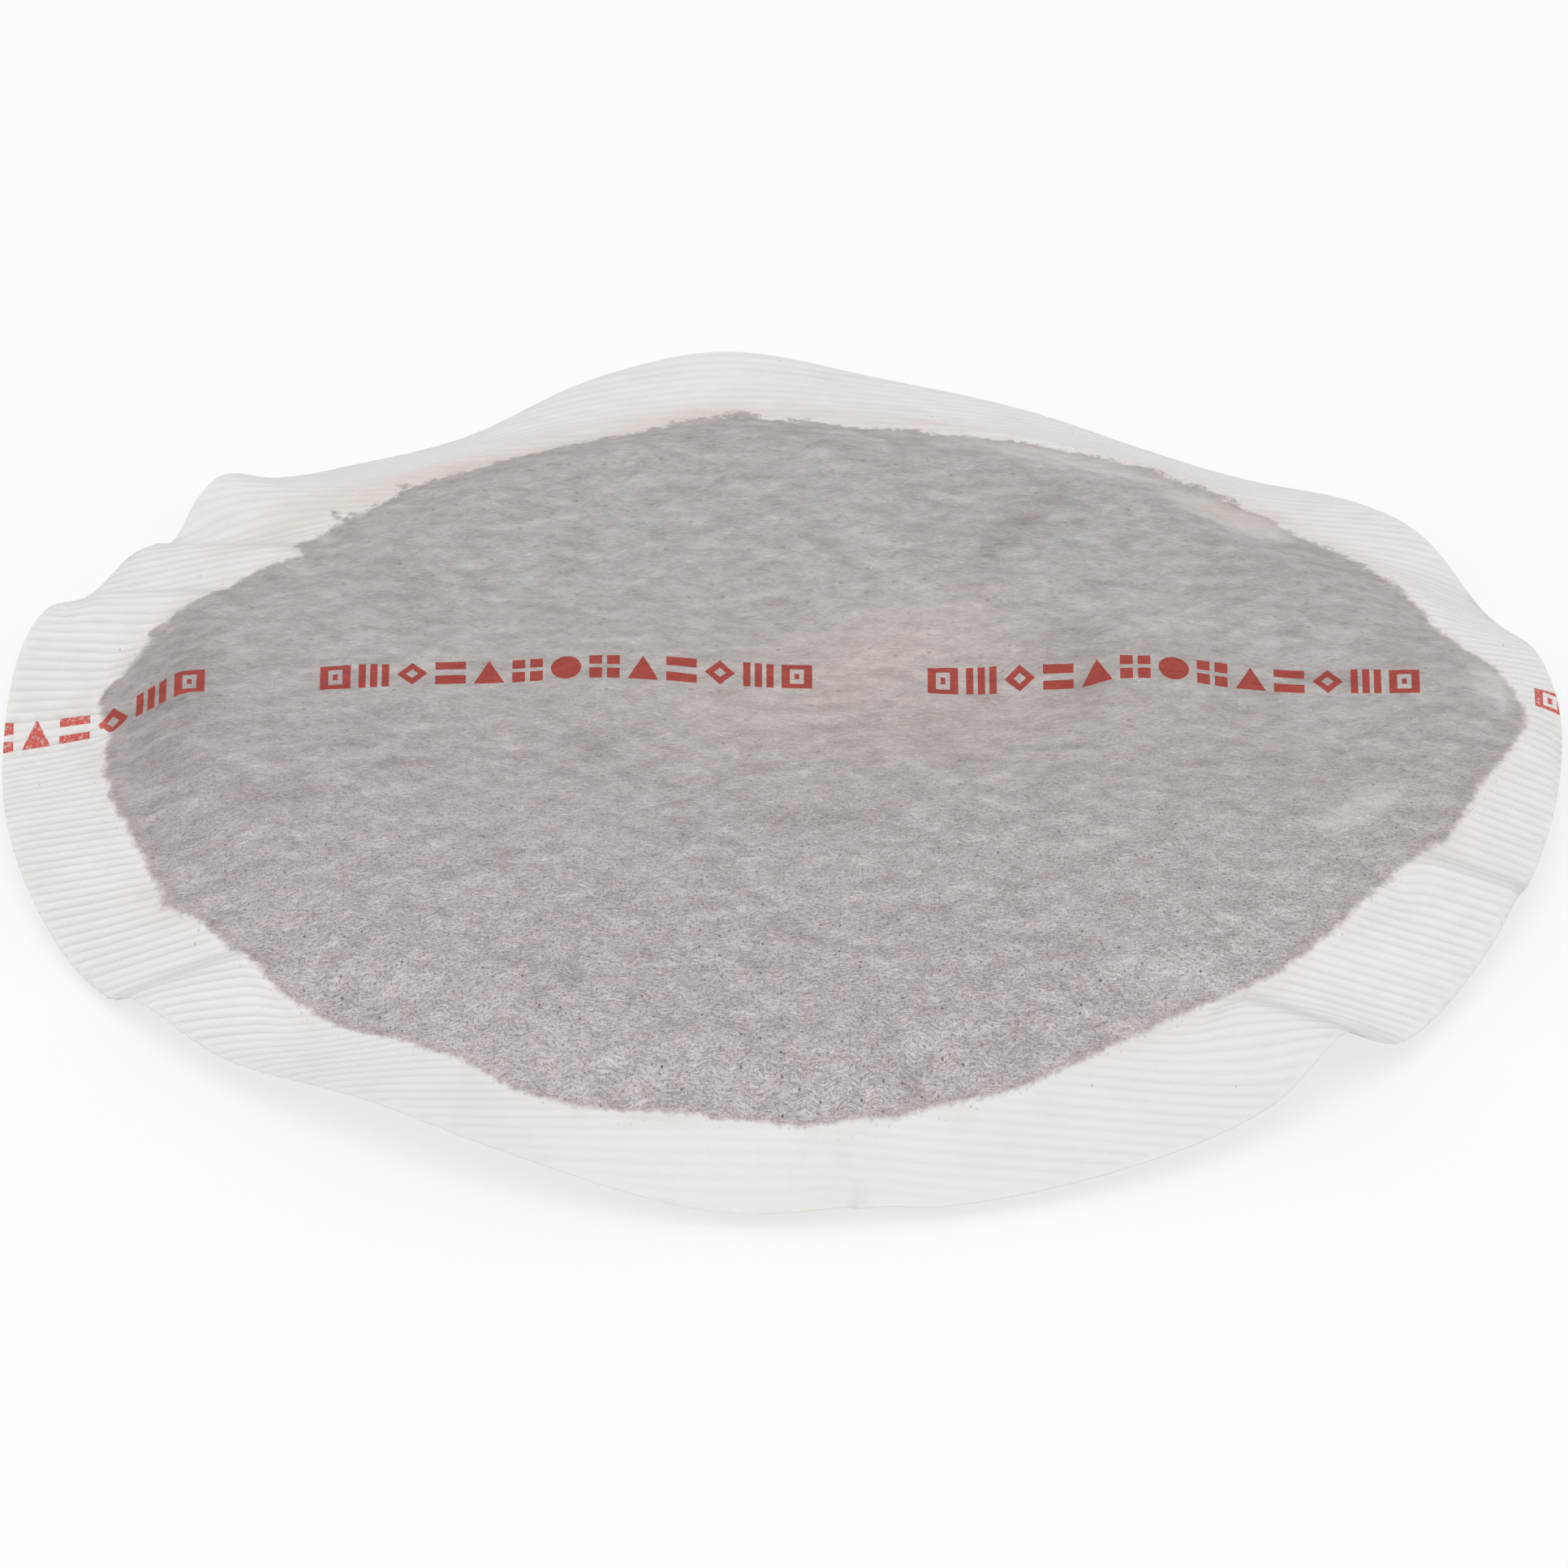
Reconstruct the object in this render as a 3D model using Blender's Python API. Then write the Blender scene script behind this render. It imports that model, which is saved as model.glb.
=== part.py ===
"""Coffee filter pack, lying as it comes to rest.

Two round sheets of white filter paper hold a bed of ground coffee and are crimped together in a
wide flange around it. The crimping rollers leave fine ribs that run straight across the pack, and
the flange flutters up and down because the filled pillow has drawn it in. The pack is sealed, so
it is one solid: paper, coffee and paper. Heights are measured from the table the pack lies on.
"""

import math

import bmesh
import bpy
from mathutils import Vector, geometry

NAME = "coffee_filter_pack"

# Driving dimensions in metres
RIM_RADIUS = 0.0635
SEAL_WIDTH = 0.009
SEAL_THICKNESS = 0.0003
RIB_PITCH = 0.00106
RIB_HEIGHT = 0.00016
RIB_FADE = 0.0015
RIM_CREST = 0.008
RIM_SWAY = 0.002
SEAL_CREST = 0.007
PILLOW_TOP = 0.0078
MOUND_HEIGHT = 0.0009
SHOULDER_REACH = 0.009
CROWN_REACH = 0.03
FOOT_INSET = 0.013

# How far the folds of the flange follow the ribs instead of the radius, over what share of
# RIM_RADIUS that grows from the middle, and how much of the pillow's rise happens at its
# shoulder, the rest being the slow rise to its crown
FOLD_ALONG_RIBS = 0.5
FOLD_TURN_SHARE = 0.6
SHOULDER_SHARE = 0.85

# Mesh spacing in metres: along a rib, along a ring of the pillow, and over the pillow's middle.
# The rings' depths inside the pillow's edge are shares of SHOULDER_REACH.
RIB_STEP = 0.0055
RING_STEP = 0.0045
MIDDLE_STEP = 0.0065
RING_SHARES = (0.24, 0.5, 0.8, 1.17, 1.61)

# Flutter of the die-cut rim, counterclockwise from +X: the angle in degrees of each crest and
# valley, and its height as a share of RIM_CREST
RIM_HEIGHTS = (
    (0, 0.60),
    (7, 0.65),
    (15, 0.57),
    (26, 0.15),
    (35, 0.42),
    (42, 0.37),
    (52, 0.12),
    (61, 0.12),
    (70, 0.26),
    (82, 0.42),
    (94, 0.68),
    (104, 0.46),
    (115, 0.07),
    (126, 0.10),
    (131, 0.25),
    (136, 0.58),
    (139, 0.50),
    (142, 0.20),
    (148, 0.34),
    (154, 0.37),
    (160, 0.70),
    (167, 0.65),
    (178, 0.40),
    (195, 0.30),
    (207, 0.13),
    (216, 0.34),
    (224, 0.45),
    (238, 0.75),
    (250, 0.60),
    (266, 0.22),
    (276, 0.30),
    (282, 0.22),
    (298, 0.33),
    (308, 0.50),
    (315, 0.80),
    (321, 0.38),
    (326, 0.31),
    (338, 0.35),
    (348, 0.45),
)

# How far the rim reaches beyond its mean radius, or is drawn in: angle in degrees, share of
# RIM_SWAY
RIM_REACHES = (
    (5, 0.15),
    (20, 0.40),
    (34, 0.60),
    (47, 0.10),
    (60, -0.50),
    (85, -0.40),
    (103, 0.10),
    (115, -0.15),
    (133, 0.45),
    (150, 0.00),
    (165, 0.55),
    (180, 0.00),
    (200, -0.30),
    (215, -0.70),
    (235, -0.50),
    (260, -0.15),
    (285, 0.00),
    (308, 0.30),
    (322, 0.00),
    (335, -0.45),
    (350, -0.30),
)

# Width of the flange, from the rim to where the filling starts: angle in degrees, share of
# SEAL_WIDTH
SEAL_WIDTHS = (
    (3, 0.30),
    (12, 0.40),
    (20, 0.70),
    (29, 0.75),
    (40, 1.00),
    (50, 0.90),
    (60, 0.90),
    (72, 1.00),
    (85, 1.05),
    (95, 1.00),
    (105, 1.05),
    (115, 1.00),
    (125, 1.15),
    (137, 1.45),
    (144, 1.45),
    (151, 1.15),
    (159, 0.90),
    (167, 0.75),
    (173, 0.95),
    (182, 0.85),
    (198, 1.00),
    (215, 1.00),
    (235, 0.90),
    (245, 0.75),
    (255, 0.70),
    (270, 0.80),
    (280, 0.95),
    (292, 1.10),
    (305, 1.30),
    (315, 1.15),
    (325, 1.15),
    (337, 1.05),
    (345, 0.80),
    (353, 0.65),
)

# Height of the flange where the filling starts: angle in degrees, share of SEAL_CREST
SEAL_HEIGHTS = (
    (5, 0.90),
    (15, 0.80),
    (30, 0.70),
    (45, 0.65),
    (60, 0.70),
    (90, 0.75),
    (115, 0.65),
    (137, 0.80),
    (150, 0.70),
    (165, 0.65),
    (180, 0.60),
    (195, 0.60),
    (210, 0.70),
    (225, 0.75),
    (240, 0.90),
    (260, 0.80),
    (280, 0.75),
    (300, 0.85),
    (320, 0.95),
    (340, 0.95),
    (355, 0.95),
)

# Lumps in the coffee bed: x, y and radius as shares of the pillow's radius, height as a share
# of MOUND_HEIGHT
MOUNDS = (
    (-0.23, 0.15, 0.17, 1.00),
    (-0.45, 0.12, 0.18, 0.45),
    (0.32, 0.04, 0.14, -0.90),
    (0.53, 0.14, 0.16, 1.20),
    (0.80, 0.05, 0.20, -0.60),
    (0.05, 0.62, 0.20, 0.60),
    (-0.50, 0.45, 0.15, -0.55),
    (0.38, 0.45, 0.22, 0.70),
    (-0.30, -0.42, 0.22, 0.55),
    (0.22, -0.38, 0.18, -0.45),
    (0.55, -0.45, 0.20, 0.50),
    (-0.66, -0.22, 0.18, 0.50),
)

PAPER_COLOUR = (0.84, 0.84, 0.81, 1.0)
FILLING_COLOUR = (0.45, 0.42, 0.41, 1.0)
PAPER_ROUGHNESS = 0.9


def remove_objects():
    for old in list(bpy.data.objects):
        bpy.data.objects.remove(old, do_unlink=True)


def ease(share):
    """Smooth step from 0 to 1."""
    share = min(max(share, 0.0), 1.0)
    return share * share * (3.0 - 2.0 * share)


def closed_curve(stops, angle):
    """Smooth closed curve through the stops' values, read at an angle in degrees."""
    angle = (angle - stops[0][0]) % 360.0 + stops[0][0]
    count = len(stops)
    at = max(i for i in range(count) if stops[i][0] <= angle)
    before, start, end, after = (stops[(at + step) % count] for step in (-1, 0, 1, 2))
    span = (end[0] - start[0]) % 360.0
    start_slope = (end[1] - before[1]) / ((end[0] - before[0]) % 360.0)
    end_slope = (after[1] - start[1]) / ((after[0] - start[0]) % 360.0)
    t = (angle - start[0]) / span
    return (
        start[1] * (1 + 2 * t) * (1 - t) ** 2
        + end[1] * t * t * (3 - 2 * t)
        + span * (start_slope * t * (1 - t) ** 2 - end_slope * t * t * (1 - t))
    )


def rim_radius(angle):
    return RIM_RADIUS + RIM_SWAY * closed_curve(RIM_REACHES, angle)


def rim_height(angle):
    return RIM_CREST * closed_curve(RIM_HEIGHTS, angle)


def pillow_radius(angle):
    return rim_radius(angle) - SEAL_WIDTH * closed_curve(SEAL_WIDTHS, angle)


def seal_height(angle):
    return SEAL_CREST * closed_curve(SEAL_HEIGHTS, angle)


def angle_of(x, y):
    return math.degrees(math.atan2(y, x))


def polar_point(radius, angle):
    return (radius * math.cos(math.radians(angle)), radius * math.sin(math.radians(angle)))


def fold_angle(x, y):
    """Angle of the rim whose lift reaches this point: part radial, part straight along a rib."""
    radial = angle_of(x, y)
    half_chord = math.sqrt(max(RIM_RADIUS ** 2 - y * y, 0.0))
    along_rib = angle_of(math.copysign(half_chord, x), y)
    turn = (along_rib - radial + 180.0) % 360.0 - 180.0
    return radial + FOLD_ALONG_RIBS * ease(abs(x) / (FOLD_TURN_SHARE * RIM_RADIUS)) * turn


def rib_wave(y, outside):
    """Triangular wave of the crimp, with a crest on every whole pitch, fading at the pillow."""
    phase = (y / RIB_PITCH) % 1.0
    return RIB_HEIGHT / 2 * (4 * abs(phase - 0.5) - 1) * ease(outside / RIB_FADE)


def seal_surface(x, y):
    """Middle of the crimped flange, and its height at the edge for points on the pillow."""
    angle = angle_of(x, y)
    inner = pillow_radius(angle)
    outside = max(math.hypot(x, y) - inner, 0.0)
    share = min(outside / (rim_radius(angle) - inner), 1.0)
    lift = rim_height(fold_angle(x, y) * (1 - share) + angle * share)
    start = seal_height(angle)
    return start + (lift - start) * share + rib_wave(y, outside)


def coffee_bed(x, y):
    """Height of the filled pillow away from its shoulder."""
    radius = RIM_RADIUS - SEAL_WIDTH
    height = PILLOW_TOP
    for centre_x, centre_y, spread, share in MOUNDS:
        away = math.hypot(x / radius - centre_x, y / radius - centre_y) / spread
        height += MOUND_HEIGHT * share * math.exp(-away * away)
    return height


def depth_inside(x, y):
    """Distance in from the pillow's edge, measured along the radius."""
    return max(pillow_radius(angle_of(x, y)) - math.hypot(x, y), 0.0)


def top_surface(x, y):
    depth = depth_inside(x, y)
    edge = seal_surface(x, y) + SEAL_THICKNESS / 2
    rise = SHOULDER_SHARE * ease(depth / SHOULDER_REACH)
    rise += (1 - SHOULDER_SHARE) * ease(depth / CROWN_REACH)
    return edge + (coffee_bed(x, y) - edge) * rise


def bottom_surface(x, y):
    depth = depth_inside(x, y)
    edge = seal_surface(x, y) - SEAL_THICKNESS / 2
    return edge * (1 - ease(depth / FOOT_INSET))


def crossing(outline, y, side):
    """Where a rib at this y crosses a closed outline, on the given side of the pack."""
    near = 0.0
    far = 1.5 * RIM_RADIUS
    for _ in range(40):
        middle = (near + far) / 2
        if math.hypot(middle, y) < outline(angle_of(side * middle, y)):
            near = middle
        else:
            far = middle
    return side * near


def spread_points(start, end, step):
    """Evenly spaced values from start to end, both included."""
    count = max(1, round(abs(end - start) / step))
    return [start + (end - start) * i / count for i in range(count + 1)]


def rib_run(rim_x, inner_x, y):
    """Points along one rib from the rim to the pillow, with one where the rib starts to fade."""
    fade_x = inner_x + math.copysign(RIB_FADE, inner_x)
    run = spread_points(rim_x, fade_x, RIB_STEP) if abs(rim_x) > abs(fade_x) else [rim_x]
    return [(x, y) for x in run + [inner_x]]


def rib_rows():
    """Points on every crest and valley of the crimp, in runs from the rim to the pillow."""
    rows = []
    lines = math.ceil(2 * RIM_RADIUS / RIB_PITCH)
    for line in range(-lines, lines + 1):
        y = line * RIB_PITCH / 2
        if abs(y) >= rim_radius(math.copysign(90.0, y)):
            continue
        right = crossing(rim_radius, y, 1)
        left = crossing(rim_radius, y, -1)
        if abs(y) >= pillow_radius(math.copysign(90.0, y)):
            rows.append([(x, y) for x in spread_points(left, right, RIB_STEP)])
            continue
        rows.append(rib_run(left, crossing(pillow_radius, y, -1), y))
        rows.append(rib_run(right, crossing(pillow_radius, y, 1), y))
    return rows


def rim_outline(rows):
    """The rim in order round the pack, with points added where the ribs run along it."""
    ends = set()
    for row in rows:
        for point in (row[0], row[-1]):
            if math.hypot(*point) > 0.9999 * rim_radius(angle_of(*point)):
                ends.add(point)
    ring = sorted(ends, key=lambda point: angle_of(*point))
    outline = []
    for i, point in enumerate(ring):
        outline.append(point)
        start = angle_of(*point)
        turn = (angle_of(*ring[(i + 1) % len(ring)]) - start) % 360.0
        extra = int(math.radians(turn) * RIM_RADIUS / RING_STEP)
        for k in range(1, extra + 1):
            angle = start + turn * k / (extra + 1)
            outline.append(polar_point(rim_radius(angle), angle))
    return outline


def pillow_points():
    """Rings inside the pillow's edge, then an even net of points over its middle."""
    points = []
    depths = [share * SHOULDER_REACH for share in RING_SHARES]
    for depth in depths:
        count = round(2 * math.pi * (RIM_RADIUS - SEAL_WIDTH - depth) / RING_STEP)
        for i in range(count):
            angle = 360.0 * i / count
            points.append(polar_point(pillow_radius(angle) - depth, angle))
    rows = math.ceil(RIM_RADIUS / MIDDLE_STEP)
    for row in range(-rows, rows + 1):
        shift = 0.5 * (row % 2)
        for column in range(-rows, rows + 1):
            x = (column + shift) * MIDDLE_STEP
            y = row * MIDDLE_STEP * math.sqrt(3) / 2
            if depth_inside(x, y) > depths[-1] + MIDDLE_STEP / 2:
                points.append((x, y))
    return points


def flat_net():
    """Triangle net of the whole disc, with an edge along every crest and valley."""
    rows = rib_rows()
    index = {}
    points = []
    edges = []

    def add(point):
        if point not in index:
            index[point] = len(points)
            points.append(Vector(point))
        return index[point]

    for row in rows:
        marks = [add(point) for point in row]
        edges.extend(zip(marks, marks[1:]))
    rim = [add(point) for point in rim_outline(rows)]
    for point in pillow_points():
        add(point)
    net = geometry.delaunay_2d_cdt(points, edges, [rim], 0, 1e-7)
    points, _, faces, _, _, sources = net
    return points, [face for face, source in zip(faces, sources) if source]


def pack_mesh():
    """The net extruded into a closed disc, its two sheets moved to their heights."""
    points, faces = flat_net()
    work = bmesh.new()
    corners = [work.verts.new((point.x, point.y, 0.0)) for point in points]
    for face in faces:
        work.faces.new([corners[i] for i in face])
    extruded = bmesh.ops.extrude_face_region(work, geom=work.faces[:])
    upper = {item for item in extruded["geom"] if isinstance(item, bmesh.types.BMVert)}
    for corner in work.verts:
        surface = top_surface if corner in upper else bottom_surface
        corner.co.z = surface(corner.co.x, corner.co.y)
    bmesh.ops.recalc_face_normals(work, faces=work.faces[:])
    for face in work.faces:
        middle = face.calc_center_median()
        face.material_index = 1 if depth_inside(middle.x, middle.y) > 0.0 else 0
    centre_footprint(work)
    mesh = bpy.data.meshes.new("filter_pack")
    work.to_mesh(mesh)
    work.free()
    return mesh


def centre_footprint(work):
    """Move the pack so that its origin is under the middle of its outline."""
    xs = [corner.co.x for corner in work.verts]
    ys = [corner.co.y for corner in work.verts]
    shift = Vector((-(min(xs) + max(xs)) / 2, -(min(ys) + max(ys)) / 2, 0.0))
    bmesh.ops.translate(work, vec=shift, verts=work.verts[:])


def make_material(name, colour):
    material = bpy.data.materials.new(name)
    material.use_nodes = True
    shader = material.node_tree.nodes["Principled BSDF"]
    shader.inputs["Base Color"].default_value = colour
    shader.inputs["Roughness"].default_value = PAPER_ROUGHNESS
    shader.inputs["Metallic"].default_value = 0.0
    return material


def main():
    remove_objects()
    collection = bpy.data.collections.new(NAME)
    bpy.context.scene.collection.children.link(collection)
    mesh = pack_mesh()
    mesh.materials.append(make_material("crimped_filter_paper", PAPER_COLOUR))
    mesh.materials.append(make_material("paper_over_coffee", FILLING_COLOUR))
    mesh.shade_smooth()
    mesh.set_sharp_from_angle(angle=math.radians(50))
    pack = bpy.data.objects.new("filter_pack", mesh)
    collection.objects.link(pack)


main()
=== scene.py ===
"""Looks of the coffee filter pack: its fine crimped and crumpled sheets, paper, coffee and print.

Lengths are in millimetres until a mesh is made, and plan positions are measured from the middle
of the die-cut disc.
"""

import math

import bmesh
import bpy
import numpy as np
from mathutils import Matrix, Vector, geometry, noise


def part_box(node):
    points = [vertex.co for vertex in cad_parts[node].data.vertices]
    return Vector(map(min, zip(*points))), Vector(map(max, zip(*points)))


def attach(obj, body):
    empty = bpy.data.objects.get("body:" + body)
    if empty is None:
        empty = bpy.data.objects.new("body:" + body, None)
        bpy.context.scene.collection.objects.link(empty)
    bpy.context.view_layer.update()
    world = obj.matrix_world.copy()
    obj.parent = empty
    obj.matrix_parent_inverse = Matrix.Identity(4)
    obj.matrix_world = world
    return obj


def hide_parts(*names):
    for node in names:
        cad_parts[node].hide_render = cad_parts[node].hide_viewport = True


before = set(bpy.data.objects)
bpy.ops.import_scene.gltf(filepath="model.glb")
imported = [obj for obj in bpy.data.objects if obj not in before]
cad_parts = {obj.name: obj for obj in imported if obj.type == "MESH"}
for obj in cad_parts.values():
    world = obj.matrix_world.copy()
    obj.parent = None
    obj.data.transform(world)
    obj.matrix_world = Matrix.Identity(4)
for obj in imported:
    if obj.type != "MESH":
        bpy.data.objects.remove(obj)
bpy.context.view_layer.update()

MM = 0.001

# Shape of the pack, as in the frame
RIM_RADIUS = 63.5
SEAL_WIDTH = 9.0
SEAL_THICKNESS = 0.3
RIB_PITCH = 1.06
RIB_HEIGHT = 0.16
RIB_FADE = 1.5
RIM_TAPER = 0.8
RIM_THINNED = 0.4
RIM_CREST = 8.0
RIM_SWAY = 2.0
SEAL_CREST = 7.0
PILLOW_TOP = 7.8
MOUND_HEIGHT = 0.9
SHOULDER_REACH = 9.0
CROWN_REACH = 30.0
FOOT_INSET = 13.0
FOLD_ALONG_RIBS = 0.5
FOLD_TURN_SHARE = 0.6
SHOULDER_SHARE = 0.85

# Flutter of the die-cut rim, counterclockwise from +X: the angle in degrees of each crest and
# valley, and its height as a share of RIM_CREST
RIM_HEIGHTS = (
    (0, 0.60),
    (7, 0.65),
    (15, 0.57),
    (26, 0.15),
    (35, 0.42),
    (42, 0.37),
    (52, 0.12),
    (61, 0.12),
    (70, 0.26),
    (82, 0.42),
    (94, 0.68),
    (104, 0.46),
    (115, 0.07),
    (126, 0.10),
    (131, 0.25),
    (136, 0.58),
    (139, 0.50),
    (142, 0.20),
    (148, 0.34),
    (154, 0.37),
    (160, 0.70),
    (167, 0.65),
    (178, 0.40),
    (195, 0.30),
    (207, 0.13),
    (216, 0.34),
    (224, 0.45),
    (238, 0.75),
    (250, 0.60),
    (266, 0.22),
    (276, 0.30),
    (282, 0.22),
    (298, 0.33),
    (308, 0.50),
    (315, 0.80),
    (321, 0.38),
    (326, 0.31),
    (338, 0.35),
    (348, 0.45),
)

# How far the rim reaches beyond its mean radius, or is drawn in: angle in degrees, share of
# RIM_SWAY
RIM_REACHES = (
    (5, 0.15),
    (20, 0.40),
    (34, 0.60),
    (47, 0.10),
    (60, -0.50),
    (85, -0.40),
    (103, 0.10),
    (115, -0.15),
    (133, 0.45),
    (150, 0.00),
    (165, 0.55),
    (180, 0.00),
    (200, -0.30),
    (215, -0.70),
    (235, -0.50),
    (260, -0.15),
    (285, 0.00),
    (308, 0.30),
    (322, 0.00),
    (335, -0.45),
    (350, -0.30),
)

# Width of the flange, from the rim to where the filling starts: angle in degrees, share of
# SEAL_WIDTH
SEAL_WIDTHS = (
    (3, 0.30),
    (12, 0.40),
    (20, 0.70),
    (29, 0.75),
    (40, 1.00),
    (50, 0.90),
    (60, 0.90),
    (72, 1.00),
    (85, 1.05),
    (95, 1.00),
    (105, 1.05),
    (115, 1.00),
    (125, 1.15),
    (137, 1.45),
    (144, 1.45),
    (151, 1.15),
    (159, 0.90),
    (167, 0.75),
    (173, 0.95),
    (182, 0.85),
    (198, 1.00),
    (215, 1.00),
    (235, 0.90),
    (245, 0.75),
    (255, 0.70),
    (270, 0.80),
    (280, 0.95),
    (292, 1.10),
    (305, 1.30),
    (315, 1.15),
    (325, 1.15),
    (337, 1.05),
    (345, 0.80),
    (353, 0.65),
)

# Height of the flange where the filling starts: angle in degrees, share of SEAL_CREST
SEAL_HEIGHTS = (
    (5, 0.90),
    (15, 0.80),
    (30, 0.70),
    (45, 0.65),
    (60, 0.70),
    (90, 0.75),
    (115, 0.65),
    (137, 0.80),
    (150, 0.70),
    (165, 0.65),
    (180, 0.60),
    (195, 0.60),
    (210, 0.70),
    (225, 0.75),
    (240, 0.90),
    (260, 0.80),
    (280, 0.75),
    (300, 0.85),
    (320, 0.95),
    (340, 0.95),
    (355, 0.95),
)

# Lumps in the coffee bed: x, y and radius as shares of the pillow's radius, height as a share
# of MOUND_HEIGHT
MOUNDS = (
    (-0.23, 0.15, 0.17, 1.00),
    (-0.45, 0.12, 0.18, 0.45),
    (0.32, 0.04, 0.14, -0.90),
    (0.53, 0.14, 0.16, 1.20),
    (0.80, 0.05, 0.20, -0.60),
    (0.05, 0.62, 0.20, 0.60),
    (-0.50, 0.45, 0.15, -0.55),
    (0.38, 0.45, 0.22, 0.70),
    (-0.30, -0.42, 0.22, 0.55),
    (0.22, -0.38, 0.18, -0.45),
    (0.55, -0.45, 0.20, 0.50),
    (-0.66, -0.22, 0.18, 0.50),
)

# How deep the crimp shows round the flange: angle in degrees, share of RIB_HEIGHT
RIB_SHARES = (
    (0, 0.9),
    (35, 0.6),
    (75, 0.35),
    (120, 0.4),
    (150, 0.8),
    (180, 1.5),
    (212, 1.4),
    (245, 0.6),
    (275, 0.3),
    (305, 0.7),
    (330, 1.0),
)

# Folds of the flange: the two ends in plan, then how far the paper rises on the right of the
# line, over what width it rises, and how far from the line it has sunk back
FLANGE_FOLDS = (
    (-55.6, -34.5, -40.5, -31.9, 1.1, 3.6, 7.0),
    (34.5, -39.8, 47.4, -47.2, 1.0, 3.8, 5.0),
    (49.5, -19.5, 61.8, -19.5, 1.0, 3.2, 5.0),
    (6.5, -65.5, 5.7, -57.0, -0.25, 1.2, 2.0),
    (-58.3, 25.2, -43.5, 21.6, 1.2, 3.4, 5.0),
    (-54.3, 36.6, -38.0, 27.4, 1.2, 4.0, 6.0),
)

# Creases of the paper over the coffee, laid out the same way
BED_CREASES = (
    (-56.0, 4.0, -48.0, 9.5, 0.8, 1.5, 6.0),
    (18.5, 32.0, 9.0, 20.5, 0.25, 2.0, 4.0),
    (24.6, 20.5, 24.2, 1.5, -0.45, 3.0, 4.0),
)

# Length over which a fold fades out at each end, in its shape and in its painted grey shade
FOLD_ENDS = 3.0
SHADE_ENDS = 2.0

# Broad dips of the flange: middle in plan, half length along the ribs and across them, depth
DIPS = (
    (-34.0, -38.5, 9.0, 6.0, 0.9),
    (-65.0, 7.0, 11.5, 8.5, 2.3),
)

# Where the coffee starts to show: angle in degrees, distance inside the seal's inner edge
COFFEE_STARTS = (
    (4, 0.4),
    (10, 1.0),
    (16, 1.4),
    (22, 0.8),
    (29, 1.2),
    (38, 0.4),
    (60, 0.6),
    (72, 1.4),
    (83, 2.0),
    (92, 1.7),
    (99, 1.6),
    (105, 2.7),
    (119, 2.7),
    (130, 1.8),
    (137, 0.8),
    (141.5, -0.3),
    (144, 1.3),
    (147, 1.3),
    (150, 0.9),
    (154, 2.0),
    (157, 1.7),
    (161, 2.6),
    (166, 2.4),
    (169, 0.2),
    (188, 0.8),
    (201, 0.0),
    (204, -0.8),
    (208, 0.0),
    (218, -0.3),
    (230, 0.2),
    (244, 0.9),
    (250, -0.1),
    (256, 0.8),
    (262, 1.3),
    (273, -0.1),
    (306, 0.1),
    (312, 0.6),
    (320, 0.0),
    (342, -0.5),
)

# Tufts of grains just outside the coffee's edge: middle in plan, radius, how far coffee reaches
TUFTS = (
    (-36.8, 37.4, 1.0, 2.2),
    (-31.5, 42.0, 1.0, 1.5),
    (-51.5, 18.5, 1.1, 1.8),
    (-4.0, 53.6, 2.0, 1.5),
)

# Soft patches in the coffee's colour: middle in plan, half length and half width, direction in
# degrees, how much paler, how much warmer. The darker patches are painted shade of the bed's
# shoulder, lumps and creases; the paler and warmer ones are the coffee's own tone.
TONE_AND_SHADE_PATCHES = (
    (6.0, 9.5, 13.0, 6.0, 35.0, 0.12, 0.10),
    (12.0, 15.5, 9.0, 4.0, 40.0, 0.08, 0.08),
    (9.0, 4.0, 22.0, 12.0, 0.0, 0.04, 0.18),
    (-50.0, 6.5, 4.5, 12.0, 0.0, -0.2, 0.0),
    (-15.6, -3.3, 2.5, 3.0, 0.0, -0.16, 0.0),
    (-30.6, 23.1, 2.0, 5.0, 0.0, -0.14, 0.0),
    (24.9, 10.5, 2.5, 7.0, 0.0, -0.2, 0.0),
    (19.3, 30.5, 9.0, 1.8, 63.0, -0.24, 0.0),
    (3.0, -13.9, 8.0, 1.4, 0.0, -0.16, 0.0),
    (-43.0, -11.0, 5.0, 1.6, 5.0, -0.12, 0.0),
    (37.5, 23.0, 5.0, 3.5, 0.0, -0.09, 0.0),
    (40.0, -5.5, 14.0, 8.0, -10.0, -0.03, 0.03),
    (31.0, 16.5, 6.0, 2.5, 0.0, 0.1, 0.0),
    (45.0, 1.0, 5.0, 2.5, 0.0, 0.08, 0.0),
    (-27.5, 11.5, 4.0, 3.0, 0.0, 0.1, 0.0),
    (23.0, 45.0, 9.0, 2.6, -24.0, 0.6, 0.12),
    (33.0, -35.5, 8.0, 4.0, 25.0, 0.1, 0.0),
    (-30.0, -41.5, 18.0, 6.0, -25.0, 0.08, 0.0),
)

# Spots near the edge where little coffee lies: middle in plan, half length and half width,
# direction in degrees, how much of the coffee is missing
THIN_SPOTS = (
    (36.8, 36.3, 6.0, 2.7, -33.0, 0.62),
    (58.0, 8.5, 4.0, 1.6, -75.0, 0.45),
    (47.0, -12.0, 5.0, 1.6, 50.0, 0.3),
)

# Squared distances from the middle of a thin spot, in its own half lengths, between which the
# coffee thins out
THIN_SPOT_EDGE = (1.6, 0.3)

# Coffee dust beside the edge, laid out the same way: how strongly it colours the paper. At the
# back it also stands for painted shade in the valley where the flange rises behind the coffee.
DUST_AND_SHADE_SPOTS = (
    (-27.0, 44.6, 14.0, 2.4, 27.0, 0.7),
    (-43.0, 33.0, 7.0, 2.6, 42.0, 0.4),
    (-6.0, 53.2, 8.0, 1.6, 5.0, 0.6),
    (10.0, 52.2, 8.0, 1.2, -8.0, 0.4),
    (36.8, 36.8, 9.0, 3.5, -33.0, 0.6),
    (-50.5, -20.0, 3.0, 2.0, -50.0, 0.4),
)

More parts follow.
